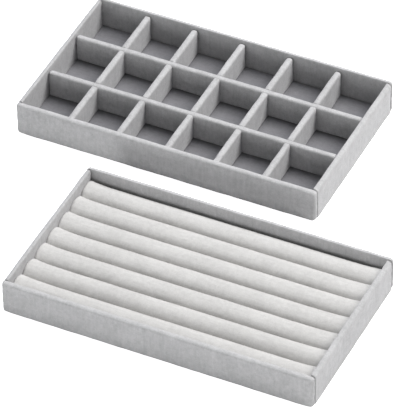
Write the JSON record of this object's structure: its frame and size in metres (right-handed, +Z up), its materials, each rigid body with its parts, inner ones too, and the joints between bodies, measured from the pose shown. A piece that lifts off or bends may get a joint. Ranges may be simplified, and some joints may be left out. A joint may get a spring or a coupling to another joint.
{
  "type": "jewelry display tray",
  "caption": "Set of matching low velvet-wrapped jewelry trays, one with padded ring rolls and one with a lattice of open compartments",
  "frame": {"origin": "on the table, in the middle of the footprint of the whole set", "axes": "+X along the long walls to the right, +Y from the front to the back, +Z up"},
  "size_m": [0.372, 0.368, 0.0315],
  "materials": {
    "greyboard": "plain uncoated greyboard",
    "foam": "open-cell foam",
    "underside_felt": "thin matte felt",
    "roll_velvet": "short-pile velvet, light warm grey",
    "floor_velvet": "fine short-pile velvet, mid grey",
    "divider_velvet": "short-pile velvet, grey",
    "case_velvet": "short-pile velvet, grey"
  },
  "bodies": {
    "ring_tray": {"ring_back_wall_board": "greyboard", "ring_back_wall_velvet": "case_velvet", "ring_base_board": "greyboard", "ring_floor_velvet": "floor_velvet", "ring_front_wall_board": "greyboard", "ring_front_wall_velvet": "case_velvet", "ring_left_wall_board": "greyboard", "ring_left_wall_velvet": "case_velvet", "ring_right_wall_board": "greyboard", "ring_right_wall_velvet": "case_velvet", "ring_roll_1_foam": "foam", "ring_roll_1_velvet": "roll_velvet", "ring_roll_2_foam": "foam", "ring_roll_2_velvet": "roll_velvet", "ring_roll_3_foam": "foam", "ring_roll_3_velvet": "roll_velvet", "ring_roll_4_foam": "foam", "ring_roll_4_velvet": "roll_velvet", "ring_roll_5_foam": "foam", "ring_roll_5_velvet": "roll_velvet", "ring_roll_6_foam": "foam", "ring_roll_6_velvet": "roll_velvet", "ring_roll_7_foam": "foam", "ring_roll_7_velvet": "roll_velvet", "ring_underside_liner": "underside_felt"},
    "grid_tray": {"grid_back_wall_board": "greyboard", "grid_back_wall_velvet": "case_velvet", "grid_base_board": "greyboard", "grid_cross_divider_1_board": "greyboard", "grid_cross_divider_1_velvet": "divider_velvet", "grid_cross_divider_2_board": "greyboard", "grid_cross_divider_2_velvet": "divider_velvet", "grid_cross_divider_3_board": "greyboard", "grid_cross_divider_3_velvet": "divider_velvet", "grid_cross_divider_4_board": "greyboard", "grid_cross_divider_4_velvet": "divider_velvet", "grid_cross_divider_5_board": "greyboard", "grid_cross_divider_5_velvet": "divider_velvet", "grid_floor_velvet": "floor_velvet", "grid_front_wall_board": "greyboard", "grid_front_wall_velvet": "case_velvet", "grid_left_wall_board": "greyboard", "grid_left_wall_velvet": "case_velvet", "grid_long_divider_1_board": "greyboard", "grid_long_divider_1_velvet": "divider_velvet", "grid_long_divider_2_board": "greyboard", "grid_long_divider_2_velvet": "divider_velvet", "grid_right_wall_board": "greyboard", "grid_right_wall_velvet": "case_velvet", "grid_underside_liner": "underside_felt"}
  },
  "joints": [
    {"name": "grid_tray_lift", "type": "slide", "parent": "ring_tray", "child": "grid_tray", "axis": [0, 0, 1], "range_m": [0, 0.08]}
  ]
}
